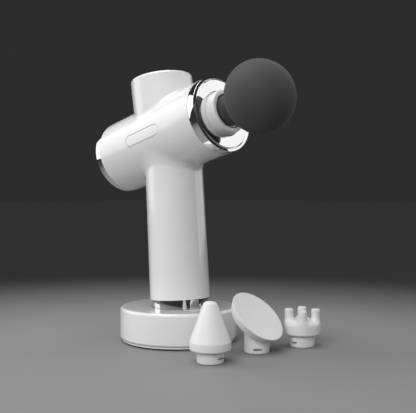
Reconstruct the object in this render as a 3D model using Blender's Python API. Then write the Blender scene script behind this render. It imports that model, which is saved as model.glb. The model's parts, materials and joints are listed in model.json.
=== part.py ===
"""Percussive massage gun standing in its charging dock, with three spare massage heads.

Lengths below are in millimetres and become metres when a mesh is made. +Z is up, the origin is
the centre of the dock's foot on the table, and the massage ball points towards +X. The gun's
handle and barrel lie in the XZ plane; +Y is the gun's left side.
"""

import math

import bmesh
import bpy
from mathutils import Vector

MM = 0.001
GAP = 0.3
SMOOTH_ANGLE = math.radians(35)

# Facets round a turned piece, from the widest to the smallest.
FINE = 38
MIDDLE = 28
ROUND = 20
SMALL = 16
TINY = 10

# Charging dock, centred on the origin.
DOCK_R = 46.0
DOCK_TOP = 27.1
DOCK_WALL = 2.5
LIP_R = 44.3
LIP_INNER_R = 41.4
FOOT_R = 43.0
FOOT_H = 0.8
DOCK_SCREWS = 3
DOCK_SCREW_CIRCLE_R = 34.0

# Handle: a cone about an axis that leans back. Heights are along it, from the dock's top.
HANDLE_X = 2.44
HANDLE_LEAN = 3.83
HANDLE_LOW_R = 23.76
HANDLE_HIGH_R = 22.6
HANDLE_RIM = 6.4
HANDLE_LENGTH = 134.56
HANDLE_RING_R = 22.5
HANDLE_END = -5.3
WELL_DEPTH = 5.6
WELL_R = 23.1

# Barrel: places are along its axis, forward of where the handle's axis meets it.
BARREL_TILT = 14.42
BARREL_R = 29.5
BARREL_REAR = -57.0
BARREL_FRONT = 49.05
HOUSING_WALL = 2.2
FRONT_FACE = 56.5
REAR_FACE = -63.2
SEAL_R = 17.3
SEAL_END = 63.2
SOCKET_R = 9.7
SOCKET_END = 62.4

# Stub: the upright motor tower on the barrel.
STUB_X = -4.9
STUB_LEAN = 10.0
STUB_LOW_R = 25.3
STUB_HIGH_R = 24.9
STUB_TOP = 48.9

# Crank mechanism, in the barrel's own axes: forward, left, and up square to the barrel.
MOTOR_X = -3.0
CRANK_R = 5.0
ROD_LENGTH = 36.0
PIN_X = MOTOR_X - CRANK_R
WRIST_X = PIN_X + ROD_LENGTH
SHAFT_R = 2.5
RUNNING_GAP = 0.3
BRACKET_BOTTOM = 9.0
BRACKET_TOP = 12.0
SCREW_OUT_X = 16.0
SCREW_OUT_Y = 20.0

# Side button: a pill-shaped key flush with the barrel's right side.
BUTTON_X = -3.95
BUTTON_LENGTH = 38.5
BUTTON_HEIGHT = 8.5

# Massage ball and its stem.
BALL_X = 94.17
BALL_R = 27.0
BALL_HALF_DEPTH = 25.1
NECK_R = 12.0
STEM_R = 9.35
STEM_END = 54.1
NECK_START = SOCKET_END + GAP

# Spare heads standing on the table, by their stems' centres.
BULLET_AT = (74.0, -40.0, 0.0)
DISC_AT = (75.0, 8.0, 0.0)
CLAW_AT = (86.0, 48.0, 0.0)
CLAW_TURN = 38.4

ALONG_X = (0.0, 90.0, 0.0)
ALONG_Y = (-90.0, 0.0, 0.0)


def clear_scene():
    for obj in list(bpy.data.objects):
        bpy.data.objects.remove(obj, do_unlink=True)


def material(name, colour, roughness, metallic=0.0):
    made = bpy.data.materials.new(name)
    made.use_nodes = True
    shader = made.node_tree.nodes["Principled BSDF"]
    shader.inputs["Base Color"].default_value = (*colour, 1.0)
    shader.inputs["Roughness"].default_value = roughness
    shader.inputs["Metallic"].default_value = metallic
    return made


def frame(name, at, lean):
    """An empty at a point of the XZ plane, its Z axis leaning back by an angle in degrees."""
    empty = bpy.data.objects.new(name, None)
    bpy.context.scene.collection.objects.link(empty)
    empty.location = Vector(at) * MM
    empty.rotation_euler = (0.0, -math.radians(lean), 0.0)
    return empty


def add(name, bm, look, parent, at, turn):
    """Closes a bmesh into a named object, placed in its parent's axes."""
    bmesh.ops.recalc_face_normals(bm, faces=bm.faces)
    mesh = bpy.data.meshes.new(name)
    bm.to_mesh(mesh)
    bm.free()
    mesh.shade_smooth()
    mesh.set_sharp_from_angle(angle=SMOOTH_ANGLE)
    obj = bpy.data.objects.new(name, mesh)
    bpy.context.scene.collection.objects.link(obj)
    obj.parent = parent
    obj.location = Vector(at) * MM
    obj.rotation_euler = [math.radians(angle) for angle in turn]
    if look is None:
        obj.hide_render = True
        obj.display_type = "WIRE"
    else:
        mesh.materials.append(look)
    return obj


def turned(name, profile, look=None, parent=None, at=(0, 0, 0), turn=(0, 0, 0), steps=ROUND):
    """A profile of (radius, height) points spun about Z: closed if neither end is on the axis."""
    bm = bmesh.new()
    verts = [bm.verts.new((radius * MM, 0.0, height * MM)) for radius, height in profile]
    edges = [bm.edges.new(pair) for pair in zip(verts, verts[1:])]
    if profile[0][0] > 0.0:
        edges.append(bm.edges.new((verts[-1], verts[0])))
    bmesh.ops.spin(
        bm,
        geom=verts + edges,
        cent=(0, 0, 0),
        axis=(0, 0, 1),
        angle=math.tau,
        steps=steps,
        use_merge=True,
    )
    bmesh.ops.remove_doubles(bm, verts=bm.verts, dist=0.001 * MM)
    return add(name, bm, look, parent, at, turn)


def rod(name, radius, low, high, look=None, parent=None, at=(0, 0, 0), turn=(0, 0, 0), steps=ROUND):
    profile = [(0, low), (radius, low), (radius, high), (0, high)]
    return turned(name, profile, look, parent, at, turn, steps)


def ring(
    name, inner, outer, low, high, look=None, parent=None, at=(0, 0, 0), turn=(0, 0, 0), steps=ROUND
):
    profile = [(inner, low), (outer, low), (outer, high), (inner, high)]
    return turned(name, profile, look, parent, at, turn, steps)


def prism(name, outline, low, high, look=None, parent=None, at=(0, 0, 0), turn=(0, 0, 0)):
    """A flat outline of (x, y) points, extruded along Z."""
    bm = bmesh.new()
    face = bm.faces.new([bm.verts.new((x * MM, y * MM, low * MM)) for x, y in outline])
    raised = bmesh.ops.extrude_face_region(bm, geom=[face])["geom"]
    top = [vert for vert in raised if isinstance(vert, bmesh.types.BMVert)]
    bmesh.ops.translate(bm, verts=top, vec=(0, 0, (high - low) * MM))
    return add(name, bm, look, parent, at, turn)


def block(name, low, high, look=None, parent=None):
    """A box between two corners in its parent's axes."""
    outline = [(low[0], low[1]), (high[0], low[1]), (high[0], high[1]), (low[0], high[1])]
    return prism(name, outline, low[2], high[2], look, parent)


def arc(centre, radius, start, end, steps):
    """Points on an arc, from one angle in degrees to another."""
    angles = [math.radians(start + (end - start) * i / steps) for i in range(steps + 1)]
    return [(centre[0] + radius * math.cos(a), centre[1] + radius * math.sin(a)) for a in angles]


def pill(length, height, steps=10):
    reach = (length - height) / 2
    return arc((reach, 0), height / 2, -90, 90, steps) + arc((-reach, 0), height / 2, 90, 270, steps)


def cut(obj, *cutters, operation="DIFFERENCE"):
    for cutter in cutters:
        boolean = obj.modifiers.new(f"{operation.lower()}_{cutter.name}", "BOOLEAN")
        boolean.operation = operation
        boolean.object = cutter
    return obj


def around(count, radius, start=0.0):
    """Points evenly spaced on a circle."""
    angles = [math.radians(start + 360.0 * i / count) for i in range(count)]
    return [(radius * math.cos(a), radius * math.sin(a), 0.0) for a in angles]


def make_looks():
    return {
        "white": material("gloss_white", (0.86, 0.86, 0.86), 0.18),
        "satin": material("satin_white", (0.84, 0.84, 0.84), 0.4),
        "chrome": material("chrome", (0.8, 0.8, 0.8), 0.08, 1.0),
        "foam": material("grey_foam", (0.07, 0.07, 0.07), 0.75),
        "stem": material("dark_plastic", (0.05, 0.05, 0.05), 0.5),
        "rubber": material("black_rubber", (0.03, 0.03, 0.03), 0.7),
        "glass": material("dark_glass", (0.01, 0.01, 0.012), 0.05),
        "steel": material("steel", (0.55, 0.55, 0.55), 0.3, 1.0),
        "alloy": material("aluminium", (0.7, 0.7, 0.7), 0.35, 1.0),
        "bronze": material("bearing_bronze", (0.5, 0.35, 0.15), 0.35, 1.0),
        "copper": material("copper", (0.7, 0.35, 0.2), 0.3, 1.0),
        "board": material("circuit_board", (0.02, 0.16, 0.07), 0.5),
        "cell": material("battery_sleeve", (0.1, 0.25, 0.45), 0.4),
    }


# ---------------------------------------------------------------- charging dock


def dock_shell(looks, handle):
    """Thin-walled lid with a tilted well for the handle's end and bosses for the base screws."""
    inner_r = DOCK_R - DOCK_WALL
    roof = DOCK_TOP - 3.2
    profile = [(0, DOCK_TOP), (DOCK_R - 2.0, DOCK_TOP)]
    profile += arc((DOCK_R - 2.0, DOCK_TOP - 2.0), 2.0, 60, 0, 2)
    profile += [(DOCK_R, 4.0), (DOCK_R - 0.6, 3.0), (LIP_R, 2.5), (LIP_R, FOOT_H + GAP)]
    profile += [(LIP_INNER_R, FOOT_H + GAP), (LIP_INNER_R, 5.2), (inner_r, 7.2), (inner_r, roof), (0, roof)]
    shell = turned("dock_shell", profile, looks["white"], steps=FINE)
    cup = rod("well_cup", WELL_R + 2.4, -WELL_DEPTH - 2.6, -1.3, parent=handle, steps=MIDDLE)
    cut(shell, cup, operation="UNION")
    for number, place in enumerate(around(DOCK_SCREWS, DOCK_SCREW_CIRCLE_R), start=1):
        boss = [(0, 15.0), (1.6, 15.0), (1.6, 5.0), (3.5, 5.0), (3.5, roof + 1.0), (0, roof + 1.0)]
        cut(shell, turned(f"dock_boss_{number}", boss, at=place, steps=TINY), operation="UNION")
    well = rod("well_bore", WELL_R, -WELL_DEPTH, 12.0, parent=handle, steps=MIDDLE)
    inlet_hole = prism("inlet_hole", pill(10.2, 4.6), -50.0, -40.0, at=(0, 0, 10.5), turn=(90, 0, 90))
    cut(shell, well, inlet_hole)


def dock_base(looks):
    """Base plate with its countersunk screws, and the full rubber foot under it."""
    plate = rod("dock_base_plate", LIP_INNER_R - GAP, FOOT_H + GAP, 4.7, looks["satin"], steps=FINE)
    for number, place in enumerate(around(DOCK_SCREWS, DOCK_SCREW_CIRCLE_R), start=1):
        seat = [(0, 0.0), (3.1, 0.0), (3.1, 3.4), (1.7, 3.4), (1.7, 6.0), (0, 6.0)]
        cut(plate, turned(f"dock_screw_seat_{number}", seat, at=place, steps=TINY))
        screw = [(0, 2.0), (2.7, 2.0), (2.7, 3.1), (1.3, 3.1), (1.3, 13.0), (0, 13.0)]
        turned(f"dock_screw_{number}", screw, looks["steel"], at=place, steps=TINY)
    foot = [(0, 0), (FOOT_R - 0.4, 0), (FOOT_R, 0.4), (FOOT_R, FOOT_H), (0, FOOT_H)]
    turned("dock_foot_pad", foot, looks["rubber"], steps=FINE)


def dock_insides(looks, handle):
    ring("dock_weight", 10.0, 28.0, 5.0, 8.6, looks["steel"], steps=ROUND)
    block("dock_circuit_board", (-36.5, -12.0, 13.0), (-4.0, 12.0, 14.6), looks["board"])
    coil_low = -WELL_DEPTH - 4.0
    ring("dock_charge_coil", 8.0, 17.0, coil_low, coil_low + 1.1, looks["copper"], handle, steps=SMALL)


def dock_inlet(looks):
    """Metal-shelled charging socket in the dock's back wall, with its contact tongue."""
    turn = (90, 0, 90)
    at = (0, 0, 10.5)
    socket = prism("dock_charge_inlet", pill(9.4, 3.8), -45.5, -37.5, looks["steel"], at=at, turn=turn)
    mouth = prism("inlet_mouth", pill(8.4, 2.8), -46.5, -38.5, at=at, turn=turn)
    tongue = block("inlet_tongue", (-44.8, -3.0, 10.15), (-38.0, 3.0, 10.85))
    cut(socket, mouth)
    cut(socket, tongue, operation="UNION")


# ---------------------------------------------------------------- handle


def handle_end(looks, handle):
    """Chrome ring that clamps the two housing halves, and the cap that closes it."""
    spigot_r = HANDLE_LOW_R - HOUSING_WALL - 0.45
    bore_r = HANDLE_RING_R - 2.8
    profile = [(bore_r, HANDLE_END), (HANDLE_RING_R - 0.5, HANDLE_END), (HANDLE_RING_R, HANDLE_END + 0.5)]
    profile += [(HANDLE_RING_R, HANDLE_RIM - GAP), (spigot_r, HANDLE_RIM - GAP)]
    profile += [(spigot_r, 11.0), (bore_r, 11.0)]
    turned("handle_end_ring", profile, looks["chrome"], handle, steps=FINE)
    rod("handle_end_cap", bore_r - GAP, HANDLE_END, HANDLE_END + 2.0, looks["satin"], handle)
    coil_low = HANDLE_END + 2.3
    ring("handle_charge_coil", 8.0, 17.0, coil_low, coil_low + 1.1, looks["copper"], handle, steps=SMALL)


def battery(looks, handle):
    """Three cells in a triangle between two carriers, and the motor-driver board above them."""
    cell_r = 9.2
    low = 14.5
    high = low + 65.0
    rod("battery_carrier_lower", 19.2, low - 2.5, low - GAP, looks["stem"], handle, steps=SMALL)
    rod("battery_carrier_upper", 20.0, high + GAP, high + 2.5, looks["stem"], handle, steps=SMALL)
    circle_r = (cell_r + 0.2) / math.cos(math.radians(30))
    for number, place in enumerate(around(3, circle_r, start=60.0), start=1):
        rod(f"battery_cell_{number}", cell_r, low, high, looks["cell"], handle, place, steps=SMALL)
    block("motor_driver_board", (-14.0, -0.8, high + 4.0), (14.0, 0.8, high + 23.0), looks["board"], handle)


# ---------------------------------------------------------------- housing


def housing_shapes(handle, barrel, stub):
    """The outer and inner shapes that both housing halves share, as guides for their Booleans."""
    outer = [
        turned(
            "handle_outer",
            [(0, HANDLE_RIM), (HANDLE_LOW_R, HANDLE_RIM), (HANDLE_HIGH_R, HANDLE_LENGTH), (0, HANDLE_LENGTH)],
            parent=handle,
            steps=FINE,
        ),
        turned(
            "stub_outer",
            [(0, 0), (STUB_LOW_R, 0), (STUB_HIGH_R, STUB_TOP - 2.0)]
            + arc((STUB_HIGH_R - 2.0, STUB_TOP - 2.0), 2.0, 30, 90, 2)
            + [(0, STUB_TOP)],
            parent=stub,
            steps=FINE,
        ),
    ]
    wall = HOUSING_WALL
    inner = [
        rod("barrel_inner", BARREL_R - wall, -70.0, 70.0, parent=barrel, turn=ALONG_X, steps=FINE),
        turned(
            "handle_inner",
            [(0, 0), (HANDLE_LOW_R - wall, 0), (HANDLE_HIGH_R - wall, HANDLE_LENGTH), (0, HANDLE_LENGTH)],
            parent=handle,
            steps=MIDDLE,
        ),
        rod("stub_inner", STUB_HIGH_R - wall, 0.0, STUB_TOP - wall, parent=stub, steps=MIDDLE),
    ]
    return outer, inner


def housing_half(name, side, looks, barrel, outer, inner, holes):
    """One moulded half of barrel, handle and stub, with a ledge that carries the motor bracket."""
    half = rod(name, BARREL_R, BARREL_REAR, BARREL_FRONT, looks["white"], barrel, turn=ALONG_X, steps=FINE)
    cut(half, *outer, operation="UNION")
    cut(half, *inner)
    near, far = sorted((side * 17.5, side * 27.4))
    ledge = block(f"{name}_ledge", (-23.0, near, 6.3), (17.0, far, BRACKET_BOTTOM - GAP), parent=barrel)
    cut(half, ledge, operation="UNION")
    cut(half, *holes)
    kept, removed = sorted((side * GAP / 2, -side * 60.0))
    cut(half, block(f"{name}_other_side", (-90, kept, -180), (90, removed, 90), parent=barrel))


def housing(looks, handle, barrel, stub, bracket_holes):
    outer, inner = housing_shapes(handle, barrel, stub)
    hole = prism(
        "button_hole",
        pill(BUTTON_LENGTH + 2 * GAP, BUTTON_HEIGHT + 2 * GAP),
        -40.0,
        -20.0,
        parent=barrel,
        at=(BUTTON_X, 0, 0),
        turn=ALONG_Y,
    )
    housing_half("left_housing", 1, looks, barrel, outer, inner, [bracket_holes])
    housing_half("right_housing", -1, looks, barrel, outer, inner, [bracket_holes, hole])


# ---------------------------------------------------------------- barrel ends


def rear_end(looks, barrel):
    """Chrome rear ring screwed into the barrel, the display window in it and its board."""
    band_r = BARREL_R - 0.2
    spigot_r = BARREL_R - HOUSING_WALL - GAP
    seat = BARREL_REAR - GAP
    profile = [(26.6, REAR_FACE), (band_r - 0.8, REAR_FACE), (band_r, REAR_FACE + 0.8), (band_r, seat)]
    profile += [(spigot_r, seat), (spigot_r, -51.5), (25.2, -51.5), (25.2, -57.6), (26.6, -57.6)]
    turned("rear_ring", profile, looks["chrome"], barrel, turn=ALONG_X, steps=FINE)
    lens = [(0, REAR_FACE + 0.4), (25.6, REAR_FACE + 0.7), (26.3, REAR_FACE + 1.2), (26.3, -57.9), (0, -57.9)]
    turned("display_window", lens, looks["glass"], barrel, turn=ALONG_X, steps=FINE)
    rod("display_board", 24.6, -56.5, -54.9, looks["board"], barrel, turn=ALONG_X)


def front_end(looks, barrel):
    """Chrome front ring, the mirror plate in it and the white collar round the plunger."""
    band_r = BARREL_R - 0.2
    spigot_r = BARREL_R - HOUSING_WALL - GAP
    seat = BARREL_FRONT + GAP
    bore_r = 27.0
    shoulder = 54.2
    profile = [(25.2, 44.0), (spigot_r, 44.0), (spigot_r, seat), (band_r, seat)]
    profile += [(band_r, FRONT_FACE - 0.7), (bore_r + 0.3, FRONT_FACE - 0.1), (bore_r, FRONT_FACE - 0.4)]
    profile += [(bore_r, shoulder), (25.2, shoulder)]
    turned("front_ring", profile, looks["chrome"], barrel, turn=ALONG_X, steps=FINE)
    plate_r = bore_r - GAP
    hole_r = SEAL_R + GAP
    profile = [(hole_r, shoulder + GAP), (plate_r, shoulder + GAP), (plate_r, FRONT_FACE - 0.45)]
    profile += [(plate_r - 0.45, FRONT_FACE), (hole_r, FRONT_FACE)]
    turned("front_plate", profile, looks["chrome"], barrel, turn=ALONG_X, steps=FINE)
    collar_bore_r = 13.1
    profile = [(collar_bore_r, 51.5), (21.0, 51.5), (21.0, shoulder), (SEAL_R, shoulder)]
    profile += [(SEAL_R, FRONT_FACE), (SEAL_R - 0.6, SEAL_END - 1.0), (SEAL_R - 1.0, SEAL_END - 0.3)]
    profile += [(SEAL_R - 1.7, SEAL_END), (collar_bore_r, SEAL_END)]
    turned("dust_seal", profile, looks["satin"], barrel, turn=ALONG_X, steps=MIDDLE)


# ---------------------------------------------------------------- motor and crank


def bracket_holes_cutter(barrel):
    """Guide for the four screw holes that run through the bracket into the housing's ledges."""
    holes = [
        rod(f"bracket_hole_{number}", 1.5, 4.0, 14.0, parent=barrel, at=place, steps=TINY)
        for number, place in enumerate(bracket_screw_places(), start=1)
    ]
    for hole in holes[1:]:
        cut(holes[0], hole, operation="UNION")
    return holes[0]


def bracket_screw_places():
    return [(MOTOR_X + x, y, 0) for x in (-SCREW_OUT_X, SCREW_OUT_X) for y in (-SCREW_OUT_Y, SCREW_OUT_Y)]


def motor_mount(looks, barrel, holes):
    """Bracket plate with its screws, the shaft bearing in it and the wound stator on it."""
    low, high = (MOTOR_X - 20.0, -23.0, BRACKET_BOTTOM), (MOTOR_X + 20.0, 23.0, BRACKET_TOP)
    bracket = block("motor_bracket", low, high, looks["alloy"], barrel)
    seat = rod("bearing_seat", 8.3, 5.0, 14.0, parent=barrel, at=(MOTOR_X, 0, 0), steps=SMALL)
    cut(bracket, seat, holes)
    for number, place in enumerate(bracket_screw_places(), start=1):
        seat = BRACKET_TOP + GAP
        screw = [(0, 6.6), (1.2, 6.6), (1.2, seat), (2.3, seat), (2.3, 14.0), (0, 14.0)]
        turned(f"bracket_screw_{number}", screw, looks["steel"], barrel, place, steps=TINY)
    at = (MOTOR_X, 0, 0)
    bore_r = SHAFT_R + RUNNING_GAP
    ring("shaft_bearing", bore_r, 8.0, 8.4, BRACKET_TOP, looks["steel"], barrel, at, steps=SMALL)
    foot = BRACKET_TOP + 0.4
    core = [(3.2, foot), (9.0, foot), (9.0, 13.8), (14.5, 16.0), (14.5, 34.0), (3.2, 34.0)]
    turned("motor_stator", core, looks["copper"], barrel, at, steps=ROUND)


def motor_rotor(looks, barrel):
    """Outer rotor bell with its shaft, and the counterweighted crank web on the shaft's end."""
    at = (MOTOR_X, 0, 0)
    bell = [(0, 3.5), (SHAFT_R, 3.5), (SHAFT_R, 36.0), (16.0, 36.0), (16.0, 15.4), (18.8, 15.4)]
    bell += [(18.8, 38.0), (17.5, 39.3), (0, 39.3)]
    turned("motor_rotor", bell, looks["steel"], barrel, at, steps=ROUND)
    outline = arc((0, 0), 15.0, -75, 75, 14) + arc((0, 0), 8.5, 105, 255, 10)
    web = prism("crank_web", outline, 3.1, 6.9, looks["steel"], barrel, at)
    cut(web, rod("web_bore", SHAFT_R + GAP, 0.0, 10.0, parent=barrel, at=at, steps=SMALL))


def connecting_rod(looks, barrel):
    """Rod from the wrist pin back to the crank pin, with the crank bearing in its big end."""
    wrist = (WRIST_X, 0, 0)
    crank = (-ROD_LENGTH, 0)
    outline = arc((0, 0), 5.2, -84, 84, 12) + arc(crank, 9.0, 84, 276, 16)
    beam = prism("connecting_rod", outline, -2.5, 2.5, looks["alloy"], barrel, wrist)
    small_eye = rod("small_eye", 2.3, -5.0, 5.0, parent=barrel, at=wrist, steps=TINY)
    at = (PIN_X, 0, 0)
    big_eye = rod("big_eye", 6.3, -5.0, 5.0, parent=barrel, at=at, steps=SMALL)
    cut(beam, small_eye, big_eye)
    ring("crank_bearing", 2.8, 6.0, -2.4, 2.4, looks["steel"], barrel, at, steps=SMALL)
    pin = [(0, -5.0), (4.2, -5.0), (4.2, -2.8), (SHAFT_R, -2.8), (SHAFT_R, 2.8), (0, 2.8)]
    turned("crank_pin", pin, looks["steel"], barrel, at, steps=SMALL)


def plunger(looks, barrel):
    """Plunger with its clevis at the back and head socket in front, and what is fixed to it."""
    at = (WRIST_X, 0, 0)
    x = WRIST_X
    profile = [(0, 22.5 - x), (8.0, 22.5 - x), (8.0, 51.6 - x), (12.5, 52.6 - x), (12.5, SOCKET_END - x)]
    profile += [(SOCKET_R, SOCKET_END - x), (SOCKET_R, 58.8 - x), (10.9, 58.8 - x), (10.9, 56.7 - x)]
    profile += [(SOCKET_R, 56.7 - x), (SOCKET_R, 53.7 - x), (0, 53.7 - x)]
    body = turned("plunger", profile, looks["alloy"], barrel, at, ALONG_X, steps=ROUND)
    slot = block("clevis_slot", (20.0, -12.0, -2.8), (34.5, 12.0, 2.8), parent=barrel)
    hole = rod("wrist_hole", 2.3, -12.0, 12.0, parent=barrel, at=at, steps=TINY)
    cut(body, slot, hole)
    rod("wrist_pin", 2.0, -7.3, 7.3, looks["steel"], barrel, at, steps=TINY)
    ring("socket_o_ring", 9.65, 10.6, 57.1 - x, 58.4 - x, looks["rubber"], barrel, at, ALONG_X, steps=SMALL)


def plunger_guide(looks, barrel):
    """Bronze bush that the plunger slides in, and the bulkhead that carries it."""
    ring("plunger_bush", 8.0 + RUNNING_GAP, 12.0, 36.5, 51.2, looks["bronze"], barrel, turn=ALONG_X)
    profile = [(12.3, 38.0), (15.0, 38.0), (15.0, 45.0), (24.8, 45.0), (24.8, 48.5), (12.3, 48.5)]
    turned("bush_carrier", profile, looks["alloy"], barrel, turn=ALONG_X)


# ---------------------------------------------------------------- side button


def side_button(looks, barrel):
    """Key that follows the barrel's curve, its back flange, and the switch board behind it."""
    at = (BUTTON_X, 0, 0)
    key = prism(
        "side_button", pill(BUTTON_LENGTH, BUTTON_HEIGHT), -32.0, -25.6, looks["white"], barrel, at, ALONG_Y
    )
    half = BUTTON_LENGTH / 2 + 1.5
    low, high = (BUTTON_X - half, -26.2, -5.6), (BUTTON_X + half, -25.0, 5.6)
    flange = block("button_flange", low, high, parent=barrel)
    skin = rod("button_skin", BARREL_R - 0.1, -60.0, 60.0, parent=barrel, turn=ALONG_X, steps=FINE)
    cut(key, flange, operation="UNION")
    cut(key, skin, operation="INTERSECT")
    low, high = (BUTTON_X - 15, -23.6, -5.0), (BUTTON_X + 15, -22.2, 5.0)
    board = block("button_switch", low, high, looks["board"], barrel)
    dome = block("switch_dome", (BUTTON_X - 3, -24.1, -3), (BUTTON_X + 3, -23.0, 3), parent=barrel)
    cut(board, dome, operation="UNION")


# ---------------------------------------------------------------- massage heads


def massage_ball(looks, barrel):
    """Slightly flattened foam ball over the end of a dark plastic stem."""
    rings = 12
    angles = [math.pi * i / rings for i in range(rings + 1)]
    profile = [(BALL_R * math.sin(a), -BALL_HALF_DEPTH * math.cos(a)) for a in angles]
    profile[0] = (0.0, -BALL_HALF_DEPTH)
    profile[-1] = (0.0, BALL_HALF_DEPTH)
    ball = turned("massage_ball", profile, looks["foam"], barrel, (BALL_X, 0, 0), ALONG_X, steps=MIDDLE)
    bore = rod("ball_bore", NECK_R + GAP, 60.0, 84.0, parent=barrel, turn=ALONG_X)
    cut(ball, bore)
    profile = [(0, STEM_END), (STEM_R - 0.8, STEM_END), (STEM_R, STEM_END + 0.8), (STEM_R, NECK_START)]
    profile += [(NECK_R, NECK_START), (NECK_R, 83.5), (0, 83.5)]
    turned("ball_stem", profile, looks["stem"], barrel, turn=ALONG_X)


def stem_slot(name, at, angle, height):
    """Guide for the small keying slot low on a spare head's stem, facing an angle in degrees."""
    outline = [(8.6, -2.9), (12.0, -2.9), (12.0, 2.9), (8.6, 2.9)]
    return prism(name, outline, height - 0.6, height + 0.6, at=at, turn=(0, 0, angle))


def bullet_head(looks):
    profile = [(0, 0), (STEM_R - 1.0, 0), (STEM_R, 1.0), (STEM_R, 8.6), (12.6, 8.6)]
    profile += arc((12.4, 10.6), 2.0, -60, 0, 2)
    profile += [(14.4, 14.6), (4.6, 41.2)] + arc((2.8, 40.3), 2.0, 25, 90, 3) + [(0, 42.4)]
    head = turned("bullet_head", profile, looks["satin"], at=BULLET_AT, steps=MIDDLE)
    cut(head, stem_slot("bullet_slot", BULLET_AT, 8.0, 3.6))


def disc_head(looks):
    """Thick round pad, slightly dished, set at a slant on its stem."""
    slant = (0, 44.2, 6.2)
    centre = (DISC_AT[0] + 1.3, DISC_AT[1] - 0.25, 26.7)
    profile = [(0, 0), (STEM_R - 1.0, 0), (STEM_R, 1.0), (STEM_R, 36.0), (0, 36.0)]
    head = turned("disc_head", profile, looks["satin"], at=DISC_AT)
    above = rod("above_pad", 60.0, -3.0, 60.0, at=centre, turn=slant, steps=SMALL)
    pad = [(0, -6.8), (18.6, -6.8), (19.6, -6.2), (22.3, -0.9), (21.8, 0.0), (20.0, -0.1)]
    pad += [(10.0, -1.0), (0, -1.3)]
    cut(head, above)
    cut(head, turned("pad", pad, at=centre, turn=slant, steps=MIDDLE), operation="UNION")
    cut(head, stem_slot("disc_slot", DISC_AT, -46.0, 3.2))


def claw_head(looks):
    """Four rounded pegs on a short round body, turned a little from the table's axes."""
    body_r = 13.6
    valley = 20.0
    top = 28.6
    peg_r = 3.4
    profile = [(0, 0), (STEM_R - 1.0, 0), (STEM_R, 1.0), (STEM_R, 9.4), (body_r - 1.4, 9.4), (body_r, 10.6)]
    profile += [(body_r, 16.6), (body_r - 0.9, 18.8), (body_r - 2.8, valley), (0, valley)]
    head = turned("claw_head", profile, looks["satin"], at=CLAW_AT, steps=MIDDLE)
    peg = [(0, 14.0), (peg_r, 14.0), (peg_r, top - 1.4), (peg_r - 0.4, top - 0.4)]
    peg += [(peg_r - 1.4, top), (0, top)]
    for number, place in enumerate(around(4, body_r - 0.1 - peg_r, start=CLAW_TURN), start=1):
        at = Vector(CLAW_AT) + Vector(place)
        cut(head, turned(f"claw_peg_{number}", peg, at=at, steps=SMALL), operation="UNION")
    cut(head, stem_slot("claw_slot", CLAW_AT, -98.0, 3.6))


def main():
    clear_scene()
    looks = make_looks()
    handle = frame("handle_axis", (HANDLE_X, 0, DOCK_TOP), HANDLE_LEAN)
    lean = math.radians(HANDLE_LEAN)
    centre = (HANDLE_X - HANDLE_LENGTH * math.sin(lean), 0, DOCK_TOP + HANDLE_LENGTH * math.cos(lean))
    barrel = frame("barrel_axis", centre, BARREL_TILT)
    tilt = math.radians(BARREL_TILT)
    stub_foot = (centre[0] + STUB_X * math.cos(tilt), 0, centre[2] + STUB_X * math.sin(tilt))
    stub = frame("stub_axis", stub_foot, STUB_LEAN)

    dock_shell(looks, handle)
    dock_base(looks)
    dock_insides(looks, handle)
    dock_inlet(looks)
    handle_end(looks, handle)
    battery(looks, handle)
    bracket_holes = bracket_holes_cutter(barrel)
    housing(looks, handle, barrel, stub, bracket_holes)
    rear_end(looks, barrel)
    front_end(looks, barrel)
    motor_mount(looks, barrel, bracket_holes)
    motor_rotor(looks, barrel)
    connecting_rod(looks, barrel)
    plunger(looks, barrel)
    plunger_guide(looks, barrel)
    side_button(looks, barrel)
    massage_ball(looks, barrel)
    bullet_head(looks)
    disc_head(looks)
    claw_head(looks)


main()
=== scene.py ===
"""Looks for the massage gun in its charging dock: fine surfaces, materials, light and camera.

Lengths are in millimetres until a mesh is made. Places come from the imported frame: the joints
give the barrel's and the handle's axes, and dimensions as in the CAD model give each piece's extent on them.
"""

import json
import math

import bmesh
import bpy
import numpy as np
from mathutils import Matrix, Vector


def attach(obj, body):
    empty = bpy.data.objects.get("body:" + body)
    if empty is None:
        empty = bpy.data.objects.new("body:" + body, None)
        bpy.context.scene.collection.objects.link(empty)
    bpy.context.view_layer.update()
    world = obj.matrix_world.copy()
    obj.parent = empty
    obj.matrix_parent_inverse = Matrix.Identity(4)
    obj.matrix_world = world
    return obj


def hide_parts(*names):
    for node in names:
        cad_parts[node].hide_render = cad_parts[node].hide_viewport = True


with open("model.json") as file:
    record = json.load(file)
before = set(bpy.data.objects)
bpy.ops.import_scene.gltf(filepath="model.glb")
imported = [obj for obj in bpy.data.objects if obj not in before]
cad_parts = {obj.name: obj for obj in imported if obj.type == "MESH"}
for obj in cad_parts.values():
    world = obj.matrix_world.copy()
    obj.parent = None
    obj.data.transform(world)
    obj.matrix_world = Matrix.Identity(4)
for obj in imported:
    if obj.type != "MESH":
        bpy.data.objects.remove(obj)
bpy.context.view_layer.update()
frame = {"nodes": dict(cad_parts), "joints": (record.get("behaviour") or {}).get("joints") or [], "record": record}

MM = 0.001
JOINTS = {joint["name"]: joint for joint in frame["joints"]}

# The gun's driving dimensions, as in the CAD model.
HANDLE_LOW_R = 23.76
HANDLE_HIGH_R = 22.6
HANDLE_RIM = 6.4
HANDLE_LENGTH = 134.56
BARREL_R = 29.5
BARREL_REAR = -57.0
BARREL_FRONT = 49.05
REAR_FACE = -63.2
FRONT_FACE = 56.5
STUB_X = -4.9
STUB_LEAN = 10.0
STUB_LOW_R = 25.3
STUB_HIGH_R = 24.9
STUB_TOP = 48.9
STUB_EDGE = 2.4
WALL = 2.2
WRIST_X = 28.0
HANDLE_FILLET = 4.5
STUB_FILLET = 1.6
SEAM = 0.1
BUTTON_X = -3.95
BUTTON_LENGTH = 38.5
BUTTON_HEIGHT = 8.5

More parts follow.
